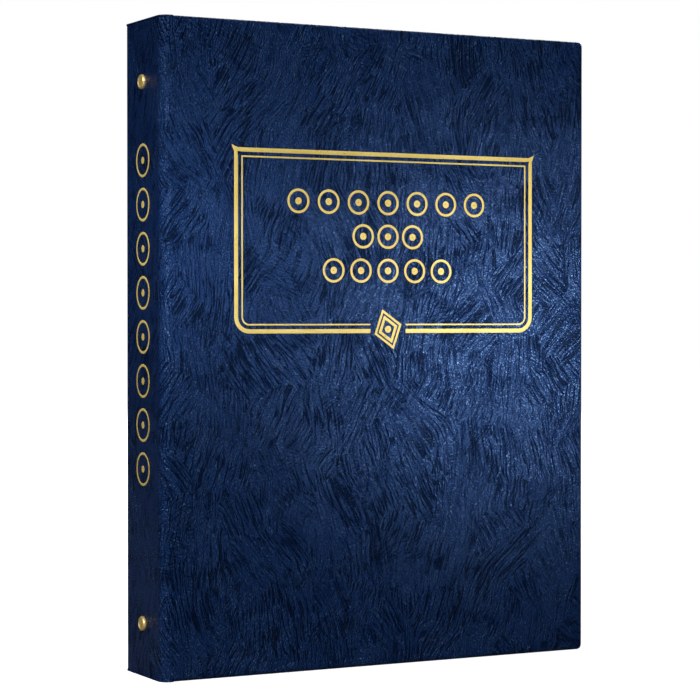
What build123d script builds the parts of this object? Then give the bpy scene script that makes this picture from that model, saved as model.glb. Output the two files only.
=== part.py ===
from build123d import *
import os

# Coin album standing on its bottom edge. Millimetres.
# +Z up, the front cover faces -Y, the spine is at -X and the fore edge at +X.
# Origin: centre of the footprint, on the surface the album stands on.

# ---- overall size ----
ALBUM_H = 254.0
ALBUM_W = 190.5
ALBUM_T = 38.0
RIVET_HEAD_H = 1.2

# ---- cover layers, from the outside in ----
WRAP_T = 0.8
FOAM_T = 0.8
BOARD_T = 1.8
LINING_T = 0.6
COVER_T = WRAP_T + FOAM_T + BOARD_T + LINING_T
WRAP_EDGE = 1.0
TURN_IN = 12.0
COVER_CORNER_R = 2.0
COVER_OUTER_R = 1.5
COVER_INNER_R = 0.5

# ---- spine and folds ----
FOLD_R = 4.0
FOLD_GAP = 0.4
SPINE_BOARD_T = 2.2
SPINE_EDGE = 0.8
SPINE_BOARD_HALF = ALBUM_T / 2 - FOLD_R - 0.5

# ---- rivets ----
RIVET_Z = (20.4, ALBUM_H - 24.0)
RIVET_HEAD_R = 2.9
RIVET_RIM = 0.8
RIVET_DISH = 0.3
RIVET_SHANK_R = 1.5
RIVET_TAIL_R = 2.4
RIVET_TAIL_H = 0.8
RIVET_CLEAR = 0.05

# ---- binding ----
CHANNEL_T = 1.0
FLANGE_T = 1.2
FLANGE_LIP = 0.2
CHANNEL_Z0 = 12.0
CHANNEL_Z1 = ALBUM_H - 12.0
CHANNEL_HALF = 13.5
ROD_R = 1.25
ROD_FROM_SPINE = 8.5
ROD_HOLE_CLEAR = 0.05
LOOP_CLEAR = 0.08
LOOP_T = 0.7
LOOP_END_GAP = 0.3
ROD_HEAD_R = 2.2
ROD_HEAD_H = 1.0
ROD_STICK = 2.5
CLIP_R = 2.6
CLIP_T = 0.8

# ---- pages ----
PAGE_COUNT = 4
PAGE_PITCH = 7.0
PAGE_T = 5.2
CARD_T = 0.8
CHANNEL_DEPTH = 0.7
PAGE_START = 6.5
PAGE_FORE_GAP = 4.0
PAGE_END_GAP = 4.0
PAGE_CORNER_R = 4.0
STRIP_T = 0.8
STRIP_IN = 8.0
ROWS = 3
PAGE_BORDER = 6.0
ROW_PITCH = (ALBUM_H - 2 * PAGE_END_GAP - 2 * PAGE_BORDER) / ROWS
COLUMNS = 3
COLUMN_PITCH = 53.0
COIN_R = 19.05
COIN_CLEAR = 0.25
WINDOW_LIP = 0.8
TRACK_START = 9.0
SLIDE_H = 46.0
SLIDE_T = 0.4
SLIDE_SIDE_CLEAR = 0.4
SLIDE_END_CLEAR = 0.6
SLIDE_CORNER_R = 3.0
THUMB_R = 9.0

# ---- stamped foil ----
FOIL_T = 0.15
FOIL_SINK = 0.05
FRAME_X = 97.7
FRAME_W = 135.4
FRAME_Z0 = ALBUM_H - 121.3
FRAME_Z1 = ALBUM_H - 49.2
FRAME_BAND = 1.85
FRAME_GAP = 1.3
FRAME_LINE = 0.7
FRAME_R = 6.5
EMBLEM_W = 13.0
EMBLEM_H = 17.0
EMBLEM_TILT = 18.0
EMBLEM_BREAK = 16.0
RING_R = 4.9
RING_LINE = 1.1
RING_DOT_R = 1.5
TITLE_ROWS = ((15.85, 7, 13.3), (2.45, 3, 11.2), (-11.15, 5, 12.2))
SPINE_RING_R = 6.6
SPINE_RINGS = 8
SPINE_RING_Z0 = ALBUM_H / 2 - 46.7
SPINE_RING_Z1 = ALBUM_H / 2 + 72.7

# ---- positions that follow from the sizes ----
X_SPINE = -(ALBUM_W + RIVET_HEAD_H) / 2 + RIVET_HEAD_H
X_FORE = X_SPINE + ALBUM_W
Y_FRONT = -ALBUM_T / 2
Y_BACK = ALBUM_T / 2
X_COVER = X_SPINE + FOLD_R + FOLD_GAP
X_BOARD = X_SPINE + WRAP_T
X_SPINE_LINING = X_BOARD + SPINE_BOARD_T
X_SPINE_IN = X_SPINE_LINING + LINING_T
X_CHANNEL_IN = X_SPINE_IN + CHANNEL_T
X_ROD = X_SPINE + ROD_FROM_SPINE
X_PAGE = X_ROD + PAGE_START
X_PAGE_END = X_FORE - PAGE_FORE_GAP
PAGE_Z0 = PAGE_END_GAP
PAGE_Z1 = ALBUM_H - PAGE_END_GAP
COIN_HOLE_R = COIN_R + COIN_CLEAR


def block(x0, x1, y0, y1, z0, z1):
    """A box between two corners."""
    centre = Pos((x0 + x1) / 2, (y0 + y1) / 2, (z0 + z1) / 2)
    return centre * Box(x1 - x0, y1 - y0, z1 - z0)


def rod_along_z(x, y, radius, z0, z1):
    return Pos(x, y, (z0 + z1) / 2) * Cylinder(radius, z1 - z0)


def rod_along_y(x, z, radius, y0, y1):
    return Pos(x, (y0 + y1) / 2, z) * Rot(90, 0, 0) * Cylinder(radius, y1 - y0)


def page_y(number):
    """Middle plane of a page, counted from the front cover."""
    return (number - (PAGE_COUNT + 1) / 2) * PAGE_PITCH


def row_z(row):
    """Middle of a row of coins, counted from the top."""
    return ALBUM_H / 2 + ((ROWS - 1) / 2 - row) * ROW_PITCH


def column_x(column):
    middle = (X_PAGE + TRACK_START + X_PAGE_END) / 2
    return middle + (column - (COLUMNS - 1) / 2) * COLUMN_PITCH


# ---- foil drawings, in the plane of the surface they are stamped on ----
def ring(radius, line, dot_radius):
    """A coin-like roundel: a ring with a dot at its centre."""
    return Circle(radius) - Circle(radius - line) + Circle(dot_radius)


def frame_outline(inset):
    """The frame's outline: square top corners and round bottom corners."""
    width = FRAME_W - 2 * inset
    height = FRAME_Z1 - FRAME_Z0 - 2 * inset
    outline = Rectangle(width, height)
    low = outline.vertices().group_by(Axis.Y)[0]
    return fillet(low, FRAME_R - inset)


def front_drawing():
    """Foil on the front cover, centred on the frame."""
    thin_at = FRAME_BAND + FRAME_GAP
    drawing = frame_outline(0) - frame_outline(FRAME_BAND)
    drawing += frame_outline(thin_at) - frame_outline(thin_at + FRAME_LINE)
    half_h = (FRAME_Z1 - FRAME_Z0) / 2
    drawing -= Pos(0, -half_h) * Rectangle(EMBLEM_BREAK, 3 * thin_at)
    lozenge = Rot(0, 0, EMBLEM_TILT) * Polygon(
        (0, -EMBLEM_H / 2), (EMBLEM_W / 2, 0), (0, EMBLEM_H / 2), (-EMBLEM_W / 2, 0)
    )
    lozenge -= Circle(2.6)
    drawing += Pos(0, -half_h + 1.6) * lozenge
    drawing += Pos(0, -half_h + 1.6) * Circle(1.5)
    for rise, count, pitch in TITLE_ROWS:
        for i in range(count):
            x = (i - (count - 1) / 2) * pitch
            drawing += Pos(x, rise) * ring(RING_R, RING_LINE, RING_DOT_R)
    return drawing


def on_front(drawing, depth):
    """Lays a drawing on the front cover and cuts it to a depth below the surface."""
    plane = Plane(
        origin=(X_SPINE + FRAME_X, Y_FRONT, (FRAME_Z0 + FRAME_Z1) / 2),
        x_dir=(1, 0, 0),
        z_dir=(0, -1, 0),
    )
    return extrude(plane * drawing, amount=-depth)


def spine_drawing():
    """A column of roundels down the spine."""
    drawing = Sketch()
    step = (SPINE_RING_Z1 - SPINE_RING_Z0) / (SPINE_RINGS - 1)
    middle = (SPINE_RING_Z0 + SPINE_RING_Z1) / 2
    for i in range(SPINE_RINGS):
        z = SPINE_RING_Z0 + i * step - middle
        drawing += Pos(0, z) * ring(SPINE_RING_R, RING_LINE, RING_DOT_R)
    return drawing


def on_spine(drawing, depth):
    plane = Plane(
        origin=(X_SPINE, 0, (SPINE_RING_Z0 + SPINE_RING_Z1) / 2),
        x_dir=(0, -1, 0),
        z_dir=(-1, 0, 0),
    )
    return extrude(plane * drawing, amount=-depth)


def foil_solids(place, drawing):
    """Foil lying in its stamped recess, a little below the surface."""
    recess = place(drawing, FOIL_SINK + FOIL_T)
    return recess - place(drawing, FOIL_SINK)


# ---- covers, built at the front and mirrored to the back ----
def cover_wrap():
    """Leatherette around the board, with its turn-ins on the inside face."""
    y_in = Y_FRONT + COVER_T
    skin = block(X_COVER, X_FORE, Y_FRONT, y_in, 0, ALBUM_H)
    corners = skin.edges().filter_by(Axis.Y).group_by(Axis.X)[-1]
    skin = fillet(corners, COVER_CORNER_R)
    outer = [e for e in skin.faces().sort_by(Axis.Y)[0].edges() if e.center().X > X_COVER + 1]
    skin = fillet(outer, COVER_OUTER_R)
    inner = [e for e in skin.faces().sort_by(Axis.Y)[-1].edges() if e.center().X > X_COVER + 1]
    skin = fillet(inner, COVER_INNER_R)
    y0 = Y_FRONT + WRAP_T
    y1 = y_in - LINING_T
    skin -= block(X_COVER - 1, X_FORE - WRAP_EDGE, y0, y1, WRAP_EDGE, ALBUM_H - WRAP_EDGE)
    skin -= block(X_COVER - 1, X_FORE - TURN_IN, y1, y_in + 1, TURN_IN, ALBUM_H - TURN_IN)
    return skin


def cover_layer(depth, thickness):
    """A sheet that fills the wrap at a depth below the outside face."""
    y0 = Y_FRONT + depth
    return block(
        X_COVER, X_FORE - WRAP_EDGE, y0, y0 + thickness, WRAP_EDGE, ALBUM_H - WRAP_EDGE
    )


def cover_lining():
    y_in = Y_FRONT + COVER_T
    return block(X_COVER, X_FORE - TURN_IN, y_in - LINING_T, y_in, TURN_IN, ALBUM_H - TURN_IN)


# ---- spine ----
def fold_profile(side):
    """Quarter-round fold between the spine and one cover."""
    y_centre = side * (ALBUM_T / 2 - FOLD_R)
    bend = Circle(FOLD_R) - Circle(FOLD_R - WRAP_T)
    quarter = Pos(-FOLD_R / 2, side * FOLD_R / 2) * Rectangle(FOLD_R, FOLD_R)
    return Pos(X_SPINE + FOLD_R, y_centre) * (bend & quarter)


def spine_wrap():
    flat_half = ALBUM_T / 2 - FOLD_R
    profile = Pos(X_SPINE + WRAP_T / 2, 0) * Rectangle(WRAP_T, 2 * flat_half)
    profile += fold_profile(-1)
    profile += fold_profile(1)
    skin = extrude(profile, amount=ALBUM_H)
    for z0 in (0, ALBUM_H - SPINE_EDGE):
        skin += block(
            X_SPINE + WRAP_T / 2, X_SPINE_LINING, -SPINE_BOARD_HALF, SPINE_BOARD_HALF, z0, z0 + SPINE_EDGE
        )
    return skin - rivet_holes()


def spine_board():
    board = block(
        X_BOARD, X_SPINE_LINING, -SPINE_BOARD_HALF, SPINE_BOARD_HALF, SPINE_EDGE, ALBUM_H - SPINE_EDGE
    )
    return board - rivet_holes()


def spine_lining():
    lining = block(
        X_SPINE_LINING, X_SPINE_IN, -SPINE_BOARD_HALF, SPINE_BOARD_HALF, 0, ALBUM_H
    )
    return lining - rivet_holes()


def rivet_holes():
    holes = []
    for z in RIVET_Z:
        hole = Rot(0, 90, 0) * Cylinder(RIVET_SHANK_R + RIVET_CLEAR, 12)
        holes.append(Pos(X_SPINE, 0, z) * hole)
    return holes


def spine_rivets():
    """Round dished heads outside, shanks through the spine, peened tails inside."""
    tail_x = X_CHANNEL_IN - X_SPINE
    with BuildPart() as rivet:
        with BuildSketch(Plane.XY):
            with BuildLine():
                Polyline(
                    (-RIVET_HEAD_H + RIVET_DISH, 0),
                    (-RIVET_HEAD_H + RIVET_DISH, RIVET_HEAD_R - RIVET_RIM - RIVET_DISH),
                    (-RIVET_HEAD_H, RIVET_HEAD_R - RIVET_RIM),
                    (-RIVET_HEAD_H * 0.85, RIVET_HEAD_R - RIVET_RIM / 3),
                    (-RIVET_HEAD_H * 0.45, RIVET_HEAD_R),
                    (0, RIVET_HEAD_R),
                    (0, RIVET_SHANK_R),
                    (tail_x, RIVET_SHANK_R),
                    (tail_x, RIVET_TAIL_R),
                    (tail_x + RIVET_TAIL_H / 2, RIVET_TAIL_R),
                    (tail_x + RIVET_TAIL_H, RIVET_TAIL_R * 0.6),
                    (tail_x + RIVET_TAIL_H, 0),
                    close=True,
                )
            make_face()
        revolve(axis=Axis.X)
    return [Pos(X_SPINE, 0, z) * rivet.part for z in RIVET_Z]


# ---- binding ----
def binding_channel():
    """Steel strip riveted along the spine, with a flange at each end for the rods."""
    flange_x = X_ROD + ROD_HEAD_R + FLANGE_LIP
    strip = block(X_SPINE_IN, X_CHANNEL_IN, -CHANNEL_HALF, CHANNEL_HALF, CHANNEL_Z0, CHANNEL_Z1)
    for z0 in (CHANNEL_Z0, CHANNEL_Z1 - FLANGE_T):
        flange = block(X_SPINE_IN, flange_x, -CHANNEL_HALF, CHANNEL_HALF, z0, z0 + FLANGE_T)
        corners = flange.edges().filter_by(Axis.Z).group_by(Axis.X)[-1]
        strip += fillet(corners, 2.0)
    strip -= rivet_holes()
    for number in range(1, PAGE_COUNT + 1):
        strip -= rod_along_z(X_ROD, page_y(number), ROD_R + ROD_HOLE_CLEAR, 0, ALBUM_H)
    return strip


def page_rods():
    rods = []
    for number in range(1, PAGE_COUNT + 1):
        y = page_y(number)
        rod = rod_along_z(X_ROD, y, ROD_R, CHANNEL_Z0 - ROD_STICK, CHANNEL_Z1 + ROD_HEAD_H)
        rod += rod_along_z(X_ROD, y, ROD_HEAD_R, CHANNEL_Z1, CHANNEL_Z1 + ROD_HEAD_H)
        rods.append(rod)
    return rods


def rod_clips():
    """Push-on clips that keep the rods in the lower flange."""
    clips = []
    for number in range(1, PAGE_COUNT + 1):
        y = page_y(number)
        clip = rod_along_z(X_ROD, y, CLIP_R, CHANNEL_Z0 - CLIP_T, CHANNEL_Z0)
        clip -= rod_along_z(X_ROD, y, ROD_R, 0, CHANNEL_Z0)
        clips.append(clip)
    return clips


# ---- pages ----
def page_hinge(number):
    """Flexible strip: a loop around its rod and a flat that runs into the page."""
    y = page_y(number)
    z0 = CHANNEL_Z0 + FLANGE_T + LOOP_END_GAP
    z1 = CHANNEL_Z1 - FLANGE_T - LOOP_END_GAP
    bore = ROD_R + LOOP_CLEAR
    strip = rod_along_z(X_ROD, y, bore + LOOP_T, z0, z1)
    strip += block(X_ROD, X_PAGE + STRIP_IN, y - STRIP_T / 2, y + STRIP_T / 2, z0, z1)
    return strip - rod_along_z(X_ROD, y, bore, 0, ALBUM_H)


def page_outline(number, y0, y1):
    """A page-sized sheet with round fore corners."""
    y = page_y(number)
    sheet = block(X_PAGE, X_PAGE_END, y + y0, y + y1, PAGE_Z0, PAGE_Z1)
    corners = sheet.edges().filter_by(Axis.Y).group_by(Axis.X)[-1]
    return fillet(corners, PAGE_CORNER_R)


def page_core(number):
    """Thick middle board with the coin holes and the tracks for the clear slides."""
    y = page_y(number)
    half = PAGE_T / 2 - CARD_T
    core = page_outline(number, -half, half)
    z0 = CHANNEL_Z0 + FLANGE_T + LOOP_END_GAP
    z1 = CHANNEL_Z1 - FLANGE_T - LOOP_END_GAP
    cuts = [block(X_PAGE - 1, X_PAGE + STRIP_IN, y - STRIP_T / 2, y + STRIP_T / 2, z0, z1)]
    track_half = SLIDE_H / 2 + SLIDE_SIDE_CLEAR
    for row in range(ROWS):
        z = row_z(row)
        for y0, y1 in ((-half - 1, CHANNEL_DEPTH - half), (half - CHANNEL_DEPTH, half + 1)):
            cuts.append(
                block(
                    X_PAGE + TRACK_START, X_FORE, y + y0, y + y1, z - track_half, z + track_half
                )
            )
        for column in range(COLUMNS):
            cuts.append(rod_along_y(column_x(column), z, COIN_HOLE_R, y - half, y + half))
    return core - cuts


def page_card(number, side):
    """Thin face card over the core, with round windows and thumb notches."""
    y = page_y(number)
    outer = PAGE_T / 2
    inner = outer - CARD_T
    low, high = sorted((side * inner, side * outer))
    cuts = []
    for row in range(ROWS):
        z = row_z(row)
        cuts.append(rod_along_y(X_PAGE_END + 2, z, THUMB_R, y + low - 1, y + high + 1))
        for column in range(COLUMNS):
            radius = COIN_HOLE_R + WINDOW_LIP
            cuts.append(rod_along_y(column_x(column), z, radius, y + low - 1, y + high + 1))
    return page_outline(number, low, high) - cuts


def page_slide(number, side, row):
    """Clear strip that covers one row of coins and pulls out at the fore edge."""
    track_mid = PAGE_T / 2 - CARD_T - CHANNEL_DEPTH / 2
    y = page_y(number) + side * track_mid
    z = row_z(row)
    x0 = X_PAGE + TRACK_START + SLIDE_END_CLEAR
    strip = block(
        x0, X_PAGE_END, y - SLIDE_T / 2, y + SLIDE_T / 2, z - SLIDE_H / 2, z + SLIDE_H / 2
    )
    return fillet(strip.edges().filter_by(Axis.Y), SLIDE_CORNER_R)


# ---- assembly ----
def flip_to_back(shape):
    return mirror(shape, about=Plane.XZ)


def build_all():
    parts = {}
    front_art = front_drawing()
    wrap = cover_wrap()
    foam = cover_layer(WRAP_T, FOAM_T)
    board = cover_layer(WRAP_T + FOAM_T, BOARD_T)
    lining = cover_lining()
    parts["front_cover_wrap"] = wrap - on_front(front_art, FOIL_SINK + FOIL_T)
    parts["front_cover_foam"] = foam
    parts["front_cover_board"] = board
    parts["front_cover_lining"] = lining
    parts["front_foil"] = foil_solids(on_front, front_art)
    parts["back_cover_wrap"] = flip_to_back(wrap)
    parts["back_cover_foam"] = flip_to_back(foam)
    parts["back_cover_board"] = flip_to_back(board)
    parts["back_cover_lining"] = flip_to_back(lining)
    spine_art = spine_drawing()
    parts["spine_wrap"] = spine_wrap() - on_spine(spine_art, FOIL_SINK + FOIL_T)
    parts["spine_board"] = spine_board()
    parts["spine_lining"] = spine_lining()
    parts["spine_foil"] = foil_solids(on_spine, spine_art)
    parts["spine_rivets"] = spine_rivets()
    parts["binding_channel"] = binding_channel()
    parts["page_rods"] = page_rods()
    parts["rod_clips"] = rod_clips()
    for number in range(1, PAGE_COUNT + 1):
        parts[f"page_{number}_hinge"] = page_hinge(number)
        parts[f"page_{number}_core"] = page_core(number)
        parts[f"page_{number}_front_card"] = page_card(number, -1)
        parts[f"page_{number}_back_card"] = page_card(number, 1)
        for row in range(ROWS):
            parts[f"page_{number}_front_slide_{row + 1}"] = page_slide(number, -1, row)
            parts[f"page_{number}_back_slide_{row + 1}"] = page_slide(number, 1, row)
    return parts


def as_solids(shape):
    """All the solids of a shape or a list of shapes, as one group."""
    items = shape if isinstance(shape, (list, ShapeList)) else [shape]
    solids = [solid for item in items for solid in item.solids()]
    return solids[0] if len(solids) == 1 else Compound(children=solids)


os.makedirs("parts", exist_ok=True)
for name, shape in build_all().items():
    export_step(as_solids(shape), f"parts/{name}.step")
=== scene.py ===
import math

import bmesh
import bpy
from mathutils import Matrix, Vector, noise


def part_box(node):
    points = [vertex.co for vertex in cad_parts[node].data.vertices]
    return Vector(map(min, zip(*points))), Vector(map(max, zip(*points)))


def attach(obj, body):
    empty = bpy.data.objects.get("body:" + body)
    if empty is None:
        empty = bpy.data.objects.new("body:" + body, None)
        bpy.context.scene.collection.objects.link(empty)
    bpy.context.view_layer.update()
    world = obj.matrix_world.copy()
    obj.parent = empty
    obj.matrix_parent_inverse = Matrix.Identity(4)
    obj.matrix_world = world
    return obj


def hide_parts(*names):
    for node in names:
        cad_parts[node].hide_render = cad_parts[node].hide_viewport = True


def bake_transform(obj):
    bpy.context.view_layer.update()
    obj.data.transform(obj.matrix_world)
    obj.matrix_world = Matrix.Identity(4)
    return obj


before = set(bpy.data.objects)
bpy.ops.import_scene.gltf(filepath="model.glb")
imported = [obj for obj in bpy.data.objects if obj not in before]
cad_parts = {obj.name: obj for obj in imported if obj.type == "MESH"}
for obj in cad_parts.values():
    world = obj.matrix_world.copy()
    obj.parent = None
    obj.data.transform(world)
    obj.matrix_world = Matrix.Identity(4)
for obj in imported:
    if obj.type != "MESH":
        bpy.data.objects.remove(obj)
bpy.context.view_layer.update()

MM = 0.001


def box_mm(node):
    """Corners of a CAD node in millimetres."""
    low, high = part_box(node)
    return [v / MM for v in low], [v / MM for v in high]


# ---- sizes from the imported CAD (millimetres) ----
spine_low, spine_high = box_mm("spine_wrap")
front_low, front_high = box_mm("front_cover_wrap")
_, lining_high = box_mm("front_cover_lining")
X_SPINE = spine_low[0]
HALF_T = spine_high[1]
HEIGHT = spine_high[2]
X_FORE = front_high[0]
X_COVER = front_low[0]
COVER_T = front_high[1] - front_low[1]
TURN_IN = X_FORE - lining_high[0]

# ---- sizes of the visual pieces (millimetres) ----
FOLD_R = 4.0
SKIN_T = 0.6
EDGE_R = 1.5
EDGE_STEPS = 6
TUCK_R = 0.6
TUCK_STEPS = 4
TURN_IN_LIFT = 0.02
TURN_IN_SINK = 0.12
CORNER_R = 2.0
CORNER_STEPS = 6
RIM_WIDTH = 1.5
FIRST_RIM_INSET = 1.9
THIN_RIM_INSET = 0.5
THIN_RIM_DEPTH = 0.35
FACE_STEP = 1.8
SPINE_STEP = 1.75
FOLD_STEP = 0.45
EDGE_FADE = 6.0
STRIP_T = 0.2

# Angle in degrees above which an edge is drawn sharp.
SHARP = 40
FINE_SHARP = 60

# The girth is the way over the skin from the spine's middle line, round the fold
# and across the cover. With the height it makes the map that the grain follows.
GIRTH_MAP = "girth"
FLAT_HALF = HALF_T - FOLD_R
ARC = math.pi / 2 * FOLD_R
GIRTH_FACE = FLAT_HALF + ARC


def undulation(g, z):
    """Slow unevenness of the covered board, outward, in millimetres."""
    p = Vector((g * 0.045, z * 0.045, 3.7))
    q = Vector((g * 0.016, z * 0.016, 9.1))
    return 0.05 * noise.noise(p) + 0.09 * noise.noise(q)


def girth_point(g, out):
    """Point of the skin at the girth g, moved outward by out."""
    if g <= FLAT_HALF:
        return X_SPINE - out, -g
    if g <= GIRTH_FACE:
        a = (g - FLAT_HALF) / FOLD_R
        r = FOLD_R + out
        x = X_SPINE + FOLD_R - r * math.cos(a)
        return x, -FLAT_HALF - r * math.sin(a)
    return X_SPINE + FOLD_R + g - GIRTH_FACE, -HALF_T - out


def face_x_to_girth(x):
    return GIRTH_FACE + x - X_SPINE - FOLD_R


def steps(a, b, size):
    """Even steps of at most one size from a up to b, without b itself."""
    count = max(1, math.ceil(abs(b - a) / size))
    return [a + (b - a) * i / count for i in range(count)]


def edge_profile():
    """Rim over the board's edge, as pairs of inset from it and depth below the face."""
    rows = []
    for i in range(1, EDGE_STEPS + 1):
        a = math.pi / 2 * i / EDGE_STEPS
        rows.append((EDGE_R * (1 - math.sin(a)), EDGE_R * (1 - math.cos(a))))
    rows.append((0.0, COVER_T * 0.55))
    r = TUCK_R
    for i in range(TUCK_STEPS + 1):
        a = math.pi / 2 * i / TUCK_STEPS
        rows.append((r * (1 - math.cos(a)), COVER_T - r + r * math.sin(a)))
    for inset in (TURN_IN * 0.3, TURN_IN * 0.65, TURN_IN - 0.25):
        rows.append((inset, COVER_T + TURN_IN_LIFT))
    rows.append((TURN_IN, COVER_T - TURN_IN_SINK))
    return rows


def skin_mesh(name, mirrored):
    """Leatherette over half of the spine, one fold and one cover, with its turn-ins."""
    bm = bmesh.new()
    uv_of = {}

    def vert(co, uv):
        v = bm.verts.new(co)
        uv_of[v] = uv
        return v

    inset = EDGE_R + RIM_WIDTH
    g_fore = face_x_to_girth(X_FORE)
    g_end = face_x_to_girth(X_FORE - inset)
    gs = steps(0, FLAT_HALF - 1, SPINE_STEP)
    gs += steps(FLAT_HALF - 1, GIRTH_FACE + 2, FOLD_STEP)
    gs += steps(GIRTH_FACE + 2, g_end, FACE_STEP) + [g_end]
    zs = steps(inset, HEIGHT - inset, FACE_STEP) + [HEIGHT - inset]

    def rise(g, z):
        """Unevenness that dies out at the edges and in the fold."""
        edge = min(z, HEIGHT - z, g_fore - g) / EDGE_FADE
        joint = min(1.0, abs(g - FLAT_HALF - ARC / 2) / (ARC * 1.2))
        return undulation(g, z) * max(0.0, min(1.0, edge)) * joint

    grid = []
    for g in gs:
        column = []
        for z in zs:
            x, y = girth_point(g, rise(g, z))
            column.append(vert((x, y, z), (g, z)))
        grid.append(column)
    for i in range(len(gs) - 1):
        for j in range(len(zs) - 1):
            quad = (grid[i][j], grid[i + 1][j], grid[i + 1][j + 1], grid[i][j + 1])
            bm.faces.new(quad)

    # The rim runs from the spine's middle along the bottom, up the fore edge and
    # back along the top.
    path = []
    for i, g in enumerate(gs[:-1]):
        path.append(("low", g, None, grid[i][0]))
    for k in range(CORNER_STEPS + 1):
        path.append(("corner_low", g_end, k / CORNER_STEPS, grid[-1][0]))
    for j, z in enumerate(zs[1:-1], 1):
        path.append(("fore", z, None, grid[-1][j]))
    for k in range(CORNER_STEPS + 1):
        path.append(("corner_high", g_end, k / CORNER_STEPS, grid[-1][-1]))
    for i in range(len(gs) - 2, -1, -1):
        path.append(("high", gs[i], None, grid[i][-1]))

    g_board = face_x_to_girth(X_COVER)

    def board_share(g):
        """0 on the spine and fold, where the rim is one thin layer, 1 on the board."""
        t = max(0.0, min(1.0, (g - g_board + 0.2) / 1.4))
        return t * t * (3 - 2 * t)

    def rim_point(kind, at, k, d, depth):
        r = max(CORNER_R - d, 0.02)
        if kind in ("low", "high"):
            share = board_share(at)
            thin_d = min(d, THIN_RIM_INSET)
            thin_depth = min(depth, THIN_RIM_DEPTH)
            d = d * share + thin_d * (1 - share)
            depth = depth * share + thin_depth * (1 - share)
            z = d if kind == "low" else HEIGHT - d
            limit = g_fore - d - (r if share > 0.5 else 0)
            g = min(at, limit)
        elif kind == "fore":
            g = g_fore - d
            z = min(max(at, d + r), HEIGHT - d - r)
        else:
            a = math.pi / 2 * k
            cg = g_fore - d - r
            if kind == "corner_low":
                g, z = cg + r * math.sin(a), d + r - r * math.cos(a)
            else:
                g, z = cg + r * math.cos(a), HEIGHT - d - r + r * math.sin(a)
        x, y = girth_point(g, -depth)
        return (x, y, z), (g, z)

    rings = [[p[3] for p in path]]
    profile = [(FIRST_RIM_INSET, 0.0)] + edge_profile()
    for d, depth in profile:
        ring = []
        for kind, at, k, _ in path:
            co, (g, z) = rim_point(kind, at, k, d, depth)
            # The grain carries on over the rim.
            run = depth * 0.8
            if kind == "low":
                uv = (g, z - run)
            elif kind == "high":
                uv = (g, z + run)
            else:
                uv = (g + run, z)
            ring.append(vert(co, uv))
        rings.append(ring)
    for a, b in zip(rings, rings[1:]):
        for i in range(len(path) - 1):
            quad = []
            for v in (a[i], b[i], b[i + 1], a[i + 1]):
                if v not in quad:
                    quad.append(v)
            if len(quad) >= 3:
                bm.faces.new(quad)

    layer = bm.loops.layers.uv.new(GIRTH_MAP)
    for face in bm.faces:
        for loop in face.loops:
            g, z = uv_of[loop.vert]
            loop[layer].uv = ((-g if mirrored else g) * MM, z * MM)
    for v in bm.verts:
        v.co *= MM
        if mirrored:
            v.co.y = -v.co.y
    bmesh.ops.remove_doubles(bm, verts=bm.verts, dist=1e-6)
    bmesh.ops.recalc_face_normals(bm, faces=bm.faces)
    bm.normal_update()
    outward = 1 if mirrored else -1
    outside = max(bm.faces, key=lambda f: f.calc_center_median().y * outward)
    if outside.normal.y * outward < 0:
        bmesh.ops.reverse_faces(bm, faces=bm.faces)
    mesh = bpy.data.meshes.new(name)
    bm.to_mesh(mesh)
    bm.free()
    obj = link_object(name, mesh)
    thicken(obj, SKIN_T, -1)
    return obj


def link_object(name, data):
    obj = bpy.data.objects.new(name, data)
    bpy.context.collection.objects.link(obj)
    return obj


def mark_sharp(mesh, degrees):
    """Smooth shading, with the edges above an angle kept sharp."""
    for polygon in mesh.polygons:
        polygon.use_smooth = True
    mesh.set_sharp_from_angle(angle=math.radians(degrees))


def thicken(obj, thickness, offset):
    """Gives a surface its thickness, in millimetres, as real mesh."""
    solid = obj.modifiers.new("thickness", "SOLIDIFY")
    solid.thickness = thickness * MM
    solid.offset = offset
    deps = bpy.context.evaluated_depsgraph_get()
    mesh = bpy.data.meshes.new_from_object(obj.evaluated_get(deps), depsgraph=deps)
    obj.modifiers.clear()
    obj.data = mesh
    mark_sharp(mesh, SHARP)


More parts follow.
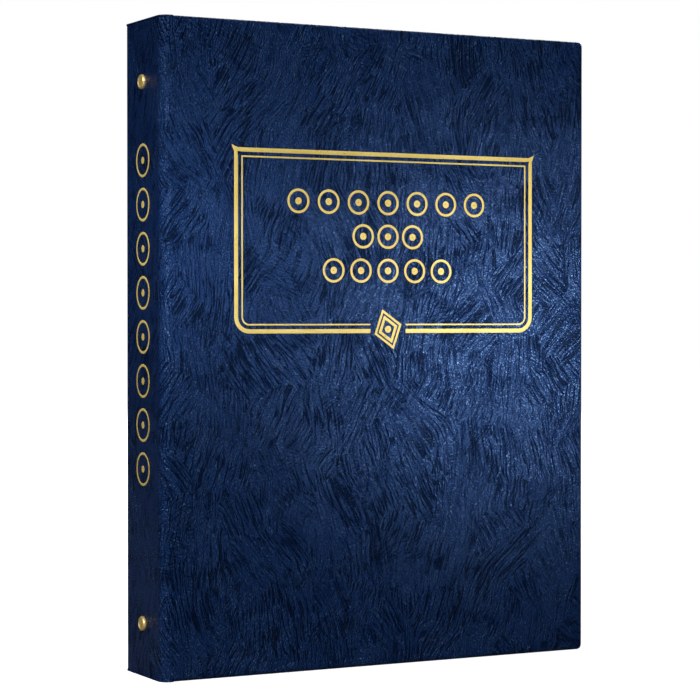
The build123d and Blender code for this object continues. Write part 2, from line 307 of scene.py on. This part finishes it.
# ---- node helpers ----
class Nodes:
    """A new material with one Principled shader, and short ways to add nodes to it."""

    def __init__(self, name):
        self.material = bpy.data.materials.new(name)
        self.material.use_nodes = True
        self.tree = self.material.node_tree
        self.tree.nodes.clear()
        surface = self.add("ShaderNodeOutputMaterial").inputs["Surface"]
        self.shader = self.add("ShaderNodeBsdfPrincipled")
        self.link(self.shader.outputs[0], surface)

    def add(self, kind, **values):
        node = self.tree.nodes.new(kind)
        for key, value in values.items():
            setattr(node, key, value)
        return node

    def link(self, a, b):
        self.tree.links.new(a, b)

    def put(self, target, value):
        """Sets a socket to a constant, or links an output to it."""
        if isinstance(value, (int, float, tuple)):
            target.default_value = value
        else:
            self.link(value, target)

    def object_place(self):
        return self.add("ShaderNodeTexCoord").outputs["Object"]

    def math(self, operation, a, b=0.5):
        node = self.add("ShaderNodeMath", operation=operation)
        self.put(node.inputs[0], a)
        self.put(node.inputs[1], b)
        return node.outputs[0]

    def ramp(self, value, low, high, out_low=0.0, out_high=1.0, kind="SMOOTHSTEP"):
        """Takes low..high to out_low..out_high."""
        node = self.add("ShaderNodeMapRange", interpolation_type=kind)
        self.put(node.inputs["Value"], value)
        self.put(node.inputs["From Min"], low)
        self.put(node.inputs["From Max"], high)
        self.put(node.inputs["To Min"], out_low)
        self.put(node.inputs["To Max"], out_high)
        return node.outputs[0]

    def mapping(self, vector, scale=(1, 1, 1), location=(0, 0, 0)):
        node = self.add("ShaderNodeMapping")
        self.put(node.inputs["Vector"], vector)
        node.inputs["Scale"].default_value = scale
        node.inputs["Location"].default_value = location
        return node.outputs[0]

    def noise(self, vector, scale, detail=2.0, roughness=0.5, colour=False):
        node = self.add("ShaderNodeTexNoise")
        self.put(node.inputs["Vector"], vector)
        node.inputs["Scale"].default_value = scale
        node.inputs["Detail"].default_value = detail
        node.inputs["Roughness"].default_value = roughness
        return node.outputs["Color" if colour else "Fac"]

    def cell_edges(self, vector, scale):
        node = self.add("ShaderNodeTexVoronoi", feature="DISTANCE_TO_EDGE")
        self.put(node.inputs["Vector"], vector)
        node.inputs["Scale"].default_value = scale
        return node.outputs["Distance"]

    def mix(self, factor, a, b):
        node = self.add("ShaderNodeMix", data_type="RGBA")
        self.put(node.inputs[0], factor)
        self.put(node.inputs[6], a)
        self.put(node.inputs[7], b)
        return node.outputs[2]

    def vector_math(self, operation, a, b):
        node = self.add("ShaderNodeVectorMath", operation=operation)
        self.put(node.inputs[0], a)
        self.put(node.inputs[1], b)
        return node.outputs[0]

    def centred(self, vector, amount):
        """A noise colour turned into a shift of a few millimetres in X and Y."""
        vector = self.vector_math("SUBTRACT", vector, (0.5, 0.5, 0.5))
        return self.vector_math("MULTIPLY", vector, (amount, amount, 0.0))

    def bump(self, height, distance, strength=1.0):
        """Relief on the shader's normal. The distance is in metres."""
        node = self.add("ShaderNodeBump")
        node.inputs["Strength"].default_value = strength
        node.inputs["Distance"].default_value = distance
        self.put(node.inputs["Height"], height)
        self.link(node.outputs[0], self.shader.inputs["Normal"])

    def set(self, **values):
        """Sets the shader's own sockets, with an underscore for each space."""
        for key, value in values.items():
            self.put(self.shader.inputs[key.replace("_", " ")], value)


def rgb(r, g, b):
    return (r, g, b, 1.0)


def strokes(n, surface, patch, pitch, stretch, low, high, shift):
    """Straight parallel creases that turn to another angle from patch to patch."""
    place = n.mapping(surface, location=shift)
    ragged = n.centred(n.noise(place, 260, 1.5, colour=True), 0.012)
    cell = n.add("ShaderNodeTexVoronoi", feature="F1", voronoi_dimensions="2D")
    n.put(cell.inputs["Vector"], n.vector_math("ADD", place, ragged))
    cell.inputs["Scale"].default_value = patch
    pick = n.add("ShaderNodeSeparateColor")
    n.link(cell.outputs["Color"], pick.inputs[0])
    first, last = -math.radians(low), -math.radians(high)
    turn = n.ramp(pick.outputs[0], 0.0, 1.0, first, last, "LINEAR")
    spin = n.add("ShaderNodeVectorRotate", rotation_type="Z_AXIS")
    n.put(spin.inputs["Vector"], place)
    n.put(spin.inputs["Angle"], turn)
    long_way = n.mapping(spin.outputs[0], scale=(stretch, 1.0, 1.0))
    wave = n.noise(long_way, pitch, 1.3, 0.45)
    return n.math("ABSOLUTE", n.math("SUBTRACT", wave, 0.5))


def grain_height(n, surface):
    """Wrinkle grain: bundles of long straight creases over a fine crackle."""

    def sunk(level, weight):
        """Depth of a crease whose level goes from 0 at its bottom to 1 beside it."""
        return n.math("MULTIPLY", n.math("SUBTRACT", 1.0, level), weight)

    warp = n.centred(n.noise(surface, 26, 2, colour=True), 0.010)
    bent = n.vector_math("ADD", surface, warp)

    # Main bundles, deep in some places and shallow in others.
    main = strokes(
        n, bent, patch=52, pitch=620, stretch=0.085, low=48, high=132, shift=(0, 0, 0)
    )
    place = n.mapping(surface, location=(2.4, 3.2, 0))
    strong = n.ramp(n.noise(place, 48, 2), 0.40, 0.60, 0.22, 0.52)
    depth = sunk(n.ramp(main, 0.0, 0.070), strong)

    # Second bundles at wider angles, held back from part of the surface.
    other = strokes(
        n,
        bent,
        patch=38,
        pitch=700,
        stretch=0.12,
        low=20,
        high=165,
        shift=(0.37, 0.81, 0),
    )
    hold = n.noise(n.mapping(surface, location=(0.4, 0.9, 0)), 44, 2)
    other = n.math("ADD", other, n.ramp(hold, 0.44, 0.56, 0.2, 0.0))
    depth = n.math("ADD", depth, sunk(n.ramp(other, 0.0, 0.055), 0.26))

    # Crackle between the creases, and a fine pebble over everything.
    cells = n.cell_edges(n.mapping(bent, scale=(1.0, 0.8, 1.0)), 1300)
    depth = n.math("ADD", depth, sunk(n.ramp(cells, 0.0, 0.26), 0.30))
    pebble = n.noise(surface, 2200, 2, 0.6)
    fine = n.math("MULTIPLY", n.math("SUBTRACT", pebble, 0.5), 0.16)
    return n.math("ADD", n.math("SUBTRACT", 1.0, depth), fine)


def leatherette():
    """Navy leatherette, matt in the creases and shinier on top, with painted shade
    darkening the creases.
    """
    n = Nodes("navy_leatherette")
    uv = n.add("ShaderNodeUVMap", uv_map=GIRTH_MAP).outputs[0]
    height = grain_height(n, uv)
    tone = n.ramp(n.noise(uv, 14, 3, 0.55), 0.35, 0.7)
    speck = n.noise(uv, 900, 2)
    # Painted shade: the dark colour goes into the creases and the light one onto the
    # tops of the grain.
    dark = n.mix(tone, rgb(0.0005, 0.0034, 0.018), rgb(0.0006, 0.0040, 0.021))
    light = n.mix(tone, rgb(0.0026, 0.0170, 0.080), rgb(0.0032, 0.0190, 0.087))
    # The mix by the grain's height paints shade into the creases.
    colour = n.mix(n.ramp(height, 0.32, 1.0), dark, light)
    rough = n.ramp(height, 0.3, 1.0, 0.46, 0.36)
    rough = n.math("ADD", rough, n.ramp(speck, 0.3, 0.7, -0.03, 0.04))
    n.set(Base_Color=colour, Roughness=rough)
    n.set(Specular_IOR_Level=n.ramp(height, 0.40, 0.95, 0.16, 0.72))
    n.set(Specular_Tint=rgb(0.30, 0.55, 1.0))
    n.bump(height, 0.00050, 1.0)
    return n.material


def gold_foil():
    """Stamped foil, a little worn. It is hardly metallic, so that it keeps its
    colour in the dark studio."""
    n = Nodes("gold_foil")
    place = n.object_place()
    worn = n.noise(place, 1500, 3, 0.6)
    tone = n.noise(place, 90, 2)
    gold = n.mix(n.ramp(tone, 0.3, 0.7), rgb(0.58, 0.43, 0.108), rgb(0.65, 0.50, 0.145))
    colour = n.mix(n.ramp(worn, 0.64, 0.72), gold, rgb(0.16, 0.12, 0.08))
    grain = n.noise(place, 900, 3, 0.6)
    rough = n.ramp(grain, 0.3, 0.7, 0.46, 0.62)
    n.set(Base_Color=colour, Metallic=0.02, Roughness=rough, Specular_IOR_Level=0.15)
    n.bump(grain, 0.00012, 0.6)
    return n.material


def brass():
    n = Nodes("rivet_brass")
    place = n.object_place()
    patina = n.noise(place, 600, 3, 0.6)
    brushed = n.noise(n.mapping(place, scale=(1, 6, 0.6)), 1400, 2)
    aged = n.ramp(patina, 0.35, 0.75)
    colour = n.mix(aged, rgb(0.86, 0.64, 0.24), rgb(0.66, 0.46, 0.16))
    rough = n.ramp(brushed, 0.3, 0.7, 0.38, 0.55)
    n.set(Base_Color=colour, Metallic=0.6, Roughness=rough)
    n.bump(brushed, 0.00004, 0.6)
    return n.material


def steel():
    n = Nodes("nickel_steel")
    place = n.object_place()
    brushed = n.noise(n.mapping(place, scale=(8, 8, 0.5)), 700, 3)
    streak = n.ramp(brushed, 0.3, 0.7)
    colour = n.mix(streak, rgb(0.55, 0.56, 0.58), rgb(0.70, 0.71, 0.72))
    rough = n.ramp(brushed, 0.3, 0.7, 0.22, 0.38)
    n.set(Base_Color=colour, Metallic=1.0, Roughness=rough)
    n.bump(brushed, 0.00002, 0.5)
    return n.material


def paper_like(name, base, second, fibre_scale, rough, depth):
    """Paper, card or board: fibre noise in colour and height."""
    n = Nodes(name)
    place = n.object_place()
    cloud = n.noise(place, 60, 3, 0.6)
    fibre = n.noise(n.mapping(place, scale=(1, 1, 0.45)), fibre_scale, 4, 0.65)
    cloud, strands = n.math("MULTIPLY", cloud, 0.4), n.math("MULTIPLY", fibre, 0.6)
    blotch = n.ramp(n.math("ADD", cloud, strands), 0.35, 0.65)
    n.set(Base_Color=n.mix(blotch, base, second))
    n.set(Roughness=n.ramp(fibre, 0.3, 0.7, rough - 0.06, rough + 0.06))
    n.bump(fibre, depth, 0.7)
    return n.material


def clear_slide():
    n = Nodes("clear_slide")
    place = n.object_place()
    scuff = n.noise(n.mapping(place, scale=(0.2, 1, 1)), 900, 3, 0.6)
    n.set(Base_Color=rgb(0.82, 0.90, 1.0), IOR=1.46, Alpha=0.30)
    n.set(Roughness=n.ramp(scuff, 0.4, 0.75, 0.05, 0.2))
    n.bump(scuff, 0.00002, 0.4)
    return n.material


def vinyl():
    n = Nodes("vinyl_strip")
    place = n.object_place()
    fine = n.noise(place, 1600, 3, 0.6)
    colour = n.mix(fine, rgb(0.010, 0.018, 0.045), rgb(0.022, 0.036, 0.080))
    n.set(Base_Color=colour)
    n.set(Roughness=n.ramp(fine, 0.3, 0.7, 0.42, 0.58))
    n.bump(fine, 0.00006, 0.6)
    return n.material


leather = leatherette()
foil = gold_foil()
lining_paper = paper_like(
    "lining_paper",
    rgb(0.010, 0.020, 0.055),
    rgb(0.020, 0.036, 0.085),
    900,
    0.72,
    0.00006,
)
grey_board = paper_like(
    "grey_board", rgb(0.22, 0.20, 0.17), rgb(0.34, 0.32, 0.28), 1100, 0.85, 0.0001
)
page_board = paper_like(
    "page_board", rgb(0.62, 0.61, 0.57), rgb(0.76, 0.75, 0.71), 1000, 0.82, 0.0001
)
page_card = paper_like(
    "page_card", rgb(0.012, 0.045, 0.16), rgb(0.020, 0.065, 0.21), 800, 0.5, 0.00004
)
padding = paper_like(
    "padding_sheet", rgb(0.55, 0.55, 0.52), rgb(0.72, 0.72, 0.69), 1500, 0.9, 0.0002
)
clear = clear_slide()
metal = steel()
rivet_metal = brass()
strip_vinyl = vinyl()

BY_NODE = {
    "binding_channel": metal,
    "page_rods": metal,
    "rod_clips": metal,
    "spine_rivets": rivet_metal,
    "spine_board": grey_board,
    "spine_lining": lining_paper,
    "front_cover_board": grey_board,
    "back_cover_board": grey_board,
    "front_cover_lining": lining_paper,
    "back_cover_lining": lining_paper,
    "front_cover_foam": padding,
    "back_cover_foam": padding,
}


def page_material(node):
    if "_slide_" in node:
        return clear
    if node.endswith("_card"):
        return page_card
    if node.endswith("_hinge"):
        return strip_vinyl
    return page_board


def dress(node, material):
    """Gives a CAD node its procedural material."""
    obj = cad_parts[node]
    if not obj.material_slots:
        obj.data.materials.append(material)
    for slot in obj.material_slots:
        slot.link = "OBJECT"
        slot.material = material


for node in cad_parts:
    if node in BY_NODE:
        dress(node, BY_NODE[node])
    elif node.startswith("page_"):
        dress(node, page_material(node))


# ---- skins ----
def bend_round_fold(obj, side):
    """Bakes a piece's placement into its mesh, and bends nothing. The side is -1 for
    the front and 1 for the back, and both sides are handled alike."""
    if side < 0:
        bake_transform(obj)
    else:
        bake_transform(obj)


def add_skin(name, mirrored, replaced):
    side = 1 if mirrored else -1
    skin = skin_mesh(name, mirrored)
    skin.data.materials.clear()
    skin.data.materials.append(leather)
    bend_round_fold(
        skin,
        side,
    )
    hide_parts(*replaced)


add_skin(
    "front_leatherette",
    False,
    ("front_cover_wrap", "front_cover_foam", "spine_wrap"),
)
add_skin(
    "back_leatherette",
    True,
    ("back_cover_wrap", "back_cover_foam"),
)


def link_mesh(name, bm, material, sharp=SHARP):
    """Turns a bmesh in millimetres into an object in metres."""
    for v in bm.verts:
        v.co *= MM
    bmesh.ops.recalc_face_normals(bm, faces=bm.faces)
    mesh = bpy.data.meshes.new(name)
    bm.to_mesh(mesh)
    bm.free()
    mark_sharp(mesh, sharp)
    mesh.materials.append(material)
    return link_object(name, mesh)


# ---- inner joint strips: lining that carries on over the fold ----
STRIP_BEND_STEPS = 8


def joint_strip(name, side):
    """Soft lining over the inside of a fold, from the spine to the cover lining."""
    bm = bmesh.new()
    x_in = X_SPINE + 3.6
    y_in = HALF_T - COVER_T
    line = [(x_in + 0.12, 9.0), (x_in + 0.12, 11.5), (x_in + 0.14, y_in - 1.9)]
    centre_x, centre_y, bend_r = x_in + 1.7, y_in - 1.7, 1.55
    for i in range(STRIP_BEND_STEPS + 1):
        a = math.pi / 2 * i / STRIP_BEND_STEPS
        line.append((centre_x - bend_r * math.cos(a), centre_y + bend_r * math.sin(a)))
    line.append((x_in + 3.0, y_in - 0.14))
    line += [(x_in + 5.0, y_in - 0.12), (x_in + 8.0, y_in - 0.12)]
    zs = steps(1.2, HEIGHT - 1.2, 6) + [HEIGHT - 1.2]
    grid = [[bm.verts.new((x, side * y, z)) for z in zs] for x, y in line]
    layer = bm.loops.layers.uv.new(GIRTH_MAP)
    for i in range(len(line) - 1):
        for j in range(len(zs) - 1):
            face = bm.faces.new(
                (grid[i][j], grid[i + 1][j], grid[i + 1][j + 1], grid[i][j + 1])
            )
            for loop in face.loops:
                loop[layer].uv = (loop.vert.co.x * MM, loop.vert.co.z * MM)
    obj = link_mesh(name, bm, lining_paper)
    thicken(obj, STRIP_T, 0)
    bend_round_fold(
        obj,
        side,
    )


joint_strip("front_joint_strip", -1)
joint_strip("back_joint_strip", 1)


# ---- leatherette turned over the spine's two ends ----
TURNOVER_STEPS = 12
TURNOVER_H = 0.9


def spine_end(name, z_edge, direction):
    """Rounded turn-over of the leatherette across one end of the spine board."""
    bm = bmesh.new()
    x0, x1 = X_SPINE + 0.35, X_SPINE + 3.15
    half = FLAT_HALF - 0.4
    middle = (x0 + x1) / 2
    reach = (x1 - x0) / 2
    section = []
    for i in range(TURNOVER_STEPS + 1):
        a = math.pi * i / TURNOVER_STEPS
        section.append((middle - reach * math.cos(a), TURNOVER_H * math.sin(a)))
    ys = steps(-half, half, 1.5) + [half]
    rows = []
    for y in ys:
        row = []
        end = min(1.0, (half - abs(y)) / 0.8 + 0.25)
        for x, h in section:
            z = z_edge - direction * (1.0 - h * end)
            row.append(bm.verts.new((x, y, z)))
        rows.append(row)
    layer = bm.loops.layers.uv.new(GIRTH_MAP)
    for a, b in zip(rows, rows[1:]):
        for i in range(len(section) - 1):
            face = bm.faces.new((a[i], a[i + 1], b[i + 1], b[i]))
            for loop in face.loops:
                co = loop.vert.co
                loop[layer].uv = (-co.y * MM, (co.z + co.x) * MM)
    bm.faces.new(list(reversed(rows[0])))
    bm.faces.new(rows[-1])
    obj = link_mesh(name, bm, leather, FINE_SHARP)
    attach(obj, "spine")


spine_end("spine_turnover_top", HEIGHT, 1)
spine_end("spine_turnover_bottom", 0.0, -1)

# ---- gold foil (millimetres, the same outlines as in the CAD) ----
FRAME_W = 135.4
FRAME_MID_X = X_SPINE + 97.7
FRAME_Z0 = HEIGHT - 121.3
FRAME_Z1 = HEIGHT - 49.2
FRAME_MID_Z = (FRAME_Z0 + FRAME_Z1) / 2
BAND = 1.85
THIN_AT = 3.15
THIN = 0.7
FRAME_R = 6.5
FRAME_TIP = 1.6
TIP_END = 1.8
FRAME_CORNER_STEPS = 8
OUTLINE_STEP = 2.0
FRAME_BREAK = 8.0
FOIL_LIFT = 0.05
FOIL_DROP = 0.09
BAND_SHARES = (0.0, 0.12, 0.5, 0.88, 1.0)

# Rows of roundels: height above the frame's middle, number, pitch.
TITLE_ROWS = ((15.85, 7, 13.3), (2.45, 3, 11.2), (-11.15, 5, 12.2))
RING_R = 4.9
RING_LINE = 1.1
RING_DOT_R = 1.5
SPINE_RINGS = 8
SPINE_RING_R = 6.6
SPINE_RING_LOW = HEIGHT / 2 - 46.7
SPINE_RING_HIGH = HEIGHT / 2 + 72.7
LOZENGE = ((0, -8.5), (6.5, 0), (0, 8.5), (-6.5, 0))
LOZENGE_TILT = math.radians(18)
LOZENGE_STEPS = 6
LOZENGE_X, LOZENGE_Z = FRAME_MID_X, FRAME_Z0 + 1.6


def foil_on_front(x, z):
    g = face_x_to_girth(x)
    return (x, -HALF_T - undulation(g, z) - FOIL_LIFT, z)


def foil_on_spine(y, z):
    return (X_SPINE - undulation(-y, z) - FOIL_LIFT, y, z)


def add_band(bm, outer, inner, place, closed=True):
    """A flat band between two lines of points, with its two sides turned down."""
    count = len(outer)
    inward = Vector((0, 1, 0)) if place is foil_on_front else Vector((1, 0, 0))
    rows = []
    for share in BAND_SHARES:
        row = []
        for (ax, az), (bx, bz) in zip(outer, inner):
            x, z = ax + (bx - ax) * share, az + (bz - az) * share
            co = Vector(place(x, z))
            if share in (0.0, 1.0):
                co = co + inward * FOIL_DROP
            row.append(bm.verts.new(co))
        rows.append(row)
    last = count if closed else count - 1
    for a, b in zip(rows, rows[1:]):
        for i in range(last):
            k = (i + 1) % count
            bm.faces.new((a[i], a[k], b[k], b[i]))


def outline(inset, flare=0.0):
    """Points round the frame at an inset, from the break in its lower side round to
    the break again. The upper corners run out to points by the flare."""
    x0 = FRAME_MID_X - FRAME_W / 2 + inset
    x1 = FRAME_MID_X + FRAME_W / 2 - inset
    z0, z1 = FRAME_Z0 + inset, FRAME_Z1 - inset
    r = max(FRAME_R - inset, 0.5)
    segments = int(FRAME_W / 2 / OUTLINE_STEP)
    points = []

    def line(ax, az, bx, bz, count):
        for i in range(count):
            t = i / count
            points.append((ax + (bx - ax) * t, az + (bz - az) * t))

    line(FRAME_MID_X + FRAME_BREAK, z0, x1 - r, z0, segments)
    for i in range(FRAME_CORNER_STEPS):
        a = math.pi / 2 * i / FRAME_CORNER_STEPS
        points.append((x1 - r + r * math.sin(a), z0 + r - r * math.cos(a)))
    line(x1, z0 + r, x1, z1 - FRAME_TIP, segments)
    points.append((x1, z1 - FRAME_TIP))
    points.append((x1 + flare, z1 + flare))
    points.append((x1 - FRAME_TIP, z1))
    line(x1 - TIP_END, z1, x0 + TIP_END, z1, 2 * segments)
    points.append((x0 + FRAME_TIP, z1))
    points.append((x0 - flare, z1 + flare))
    points.append((x0, z1 - FRAME_TIP))
    line(x0, z1 - TIP_END, x0, z0 + r, segments)
    for i in range(FRAME_CORNER_STEPS):
        a = math.pi / 2 * i / FRAME_CORNER_STEPS
        points.append((x0 + r - r * math.cos(a), z0 + r - r * math.sin(a)))
    line(x0 + r, z0, FRAME_MID_X - FRAME_BREAK, z0, segments)
    points.append((FRAME_MID_X - FRAME_BREAK, z0))
    return points


def circle(cx, cz, r, count):
    turn = 2 * math.pi / count
    angles = [turn * i for i in range(count)]
    return [(cx + r * math.cos(a), cz + r * math.sin(a)) for a in angles]


def add_disc(bm, cx, cz, r, inner_r, count, place):
    """A band between two circles, or a dot where the inner circle is very small."""
    add_band(bm, circle(cx, cz, r, count), circle(cx, cz, inner_r, count), place)


def add_roundel(bm, cx, cz, radius, place):
    add_disc(bm, cx, cz, radius, radius - RING_LINE, 40, place)
    add_disc(bm, cx, cz, RING_DOT_R, RING_DOT_R * 0.05, 20, place)


def lozenge(scale):
    """Points round the tilted lozenge on the frame's lower side."""
    points = []
    for k in range(4):
        ax, az = LOZENGE[k]
        bx, bz = LOZENGE[(k + 1) % 4]
        for i in range(LOZENGE_STEPS):
            t = i / LOZENGE_STEPS
            x, z = (ax + (bx - ax) * t) * scale, (az + (bz - az) * t) * scale
            across = x * math.cos(LOZENGE_TILT) - z * math.sin(LOZENGE_TILT)
            up = x * math.sin(LOZENGE_TILT) + z * math.cos(LOZENGE_TILT)
            points.append((LOZENGE_X + across, LOZENGE_Z + up))
    return points


def front_foil():
    bm = bmesh.new()
    add_band(bm, outline(0, 1.1), outline(BAND, 0.2), foil_on_front, closed=False)
    add_band(bm, outline(THIN_AT), outline(THIN_AT + THIN), foil_on_front, closed=False)
    for rise, count, pitch in TITLE_ROWS:
        for i in range(count):
            x = FRAME_MID_X + (i - (count - 1) / 2) * pitch
            add_roundel(bm, x, FRAME_MID_Z + rise, RING_R, foil_on_front)
    add_band(bm, lozenge(1.0), lozenge(0.80), foil_on_front)
    add_band(bm, lozenge(0.70), lozenge(0.45), foil_on_front)
    add_disc(bm, LOZENGE_X, LOZENGE_Z, RING_DOT_R, 0.1, 24, foil_on_front)
    obj = link_mesh("front_foil_stamp", bm, foil, FINE_SHARP)
    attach(obj, "front_cover")
    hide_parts("front_foil")


def spine_foil():
    bm = bmesh.new()
    span = SPINE_RING_HIGH - SPINE_RING_LOW
    for i in range(SPINE_RINGS):
        z = SPINE_RING_LOW + span * i / (SPINE_RINGS - 1)
        add_roundel(bm, 0.0, z, SPINE_RING_R, foil_on_spine)
    obj = link_mesh("spine_foil_stamp", bm, foil, FINE_SHARP)
    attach(obj, "spine")
    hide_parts("spine_foil")


front_foil()
spine_foil()


# ---- floor, light and camera (metres, degrees) ----
FLOOR_HALF = 6.0
FRONT_CORNER = Vector((X_SPINE, -HALF_T, 0)) * MM
CAMERA_LENS = 117.1
CAMERA_TURN = math.radians(27.7)
CAMERA_DROP = math.radians(0.83)
CAMERA_BACK = 0.864
CAMERA_RIGHT = 0.0713
CAMERA_UP = 0.1392

# Name, place, target, size, power and cone. A light with a cone is a spot that makes
# a soft pool on one part of the cover, and the others are area lights.
LIGHTS = (
    ("key_soft", (-0.95, -1.0, 1.0), (0, 0, 0.13), 0.5, 27, None),
    ("sheen", (0.80, -1.29, 0.13), (0.045, 0, 0.135), 0.05, 145, 7.0),
    ("sheen_left", (0.576, -1.378, 0.18), (-0.05, -0.019, 0.150), 0.06, 18, 6.5),
    ("fold_glow", (-0.489, -1.309, 0.165), (-0.095, -0.018, 0.165), 0.04, 75, 4.8),
    ("back_fill", (1.3, 1.5, 1.1), (0, 0, 0.13), 1.2, 40, None),
)


def stage_floor():
    """White floor for the camera, and a dark one for every other ray."""
    mesh = bpy.data.meshes.new("floor")
    h = FLOOR_HALF
    corners = [(-h, -h, 0), (h, -h, 0), (h, h, 0), (-h, h, 0)]
    mesh.from_pydata(corners, [], [(0, 1, 2, 3)])
    obj = link_object("floor", mesh)
    n = Nodes("floor_white")
    seen = n.add("ShaderNodeLightPath").outputs["Is Camera Ray"]
    n.set(Base_Color=n.mix(seen, rgb(0.08, 0.09, 0.11), rgb(0.9, 0.9, 0.9)))
    n.set(Roughness=0.9, Emission_Color=rgb(1, 1, 1))
    far = n.add("ShaderNodeVectorMath", operation="LENGTH")
    n.put(far.inputs[0], n.object_place())
    glow = n.ramp(far.outputs["Value"], 0.25, 1.2, 0.60, 1.0)
    n.set(Emission_Strength=n.math("MULTIPLY", seen, glow))
    mesh.materials.append(n.material)


def aim(obj, place, direction):
    obj.location = place
    obj.rotation_euler = direction.to_track_quat("-Z", "Y").to_euler()


def add_light(name, place, target, size, power, cone):
    data = bpy.data.lights.new(name, "SPOT" if cone else "AREA")
    data.energy = power
    if cone:
        data.shadow_soft_size = size
        data.spot_size = math.radians(cone)
        data.spot_blend = 1.0
    else:
        data.size = size
    aim(link_object(name, data), place, Vector(target) - Vector(place))


def studio():
    """White behind the album for the camera, and a nearly dark room otherwise."""
    world = bpy.data.worlds.new("studio")
    world.use_nodes = True
    tree = world.node_tree
    background = tree.nodes["Background"]
    seen = tree.nodes.new("ShaderNodeLightPath")
    level = tree.nodes.new("ShaderNodeMix")
    level.data_type = "RGBA"
    level.inputs[6].default_value = rgb(0.010, 0.012, 0.016)
    level.inputs[7].default_value = rgb(1, 1, 1)
    tree.links.new(seen.outputs["Is Camera Ray"], level.inputs[0])
    tree.links.new(level.outputs[2], background.inputs[0])
    bpy.context.scene.world = world
    bpy.context.scene.view_settings.view_transform = "Standard"
    for light in LIGHTS:
        add_light(*light)


def camera():
    """Long lens at the photograph's angle, placed from the foot of the front fold."""
    data = bpy.data.cameras.new("camera")
    data.lens = CAMERA_LENS
    data.sensor_width = 36
    obj = link_object("camera", data)
    ahead = Vector((math.sin(CAMERA_TURN), math.cos(CAMERA_TURN), 0))
    right = Vector((math.cos(CAMERA_TURN), -math.sin(CAMERA_TURN), 0))
    up = Vector((0, 0, CAMERA_UP))
    place = FRONT_CORNER - ahead * CAMERA_BACK + right * CAMERA_RIGHT + up
    down = Vector((0, 0, -math.sin(CAMERA_DROP)))
    aim(obj, place, ahead * math.cos(CAMERA_DROP) + down)
    bpy.context.scene.camera = obj


stage_floor()
studio()
camera()
